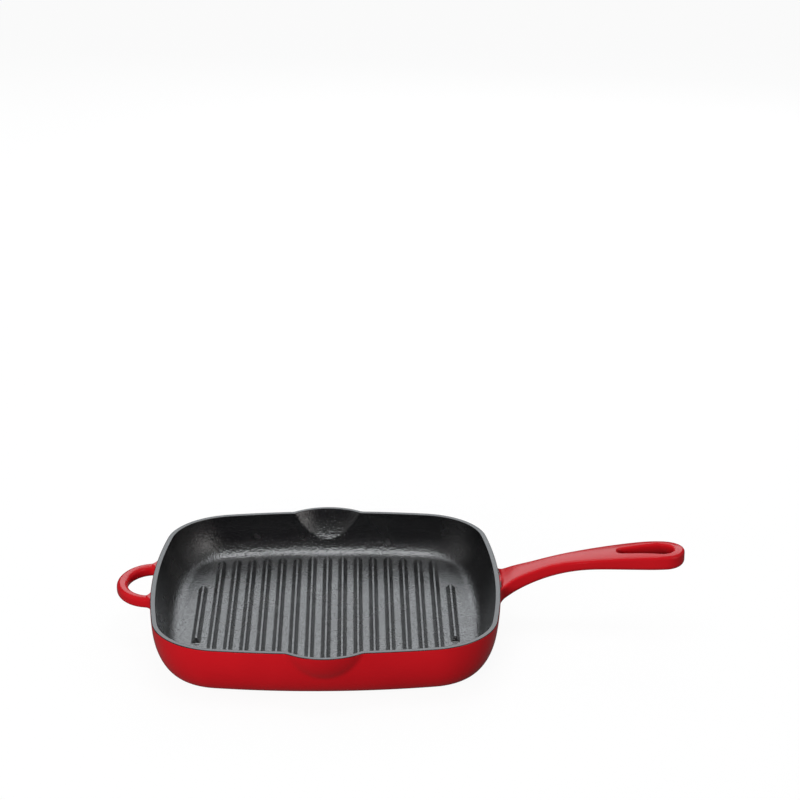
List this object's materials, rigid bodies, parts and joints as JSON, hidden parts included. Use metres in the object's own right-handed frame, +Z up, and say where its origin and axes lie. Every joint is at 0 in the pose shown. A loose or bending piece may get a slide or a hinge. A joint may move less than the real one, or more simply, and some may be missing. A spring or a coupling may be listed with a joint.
{
  "type": "square cast iron grill pan",
  "caption": "Square enamelled cast iron grill pan with a ribbed floor, side pouring spouts, a long handle with a hanging hole and a helper loop.",
  "frame": {"origin": "middle of the flat ring that the pan stands on, on the bowl's vertical centre line", "axes": "+X along the long handle, +Y towards the back spout, +Z up"},
  "size_m": [0.4248, 0.2774, 0.0605],
  "materials": {
    "iron": "as cast",
    "red_enamel": "gloss",
    "black_enamel": "satin"
  },
  "bodies": {
    "root": {"pan_body": "iron", "grill_ribs": "iron", "long_handle": "iron", "helper_handle": "iron", "wall_enamel": "red_enamel", "underside_enamel": "red_enamel", "cooking_enamel": "black_enamel", "long_handle_enamel": "red_enamel", "helper_handle_enamel": "red_enamel"}
  },
  "joints": []
}
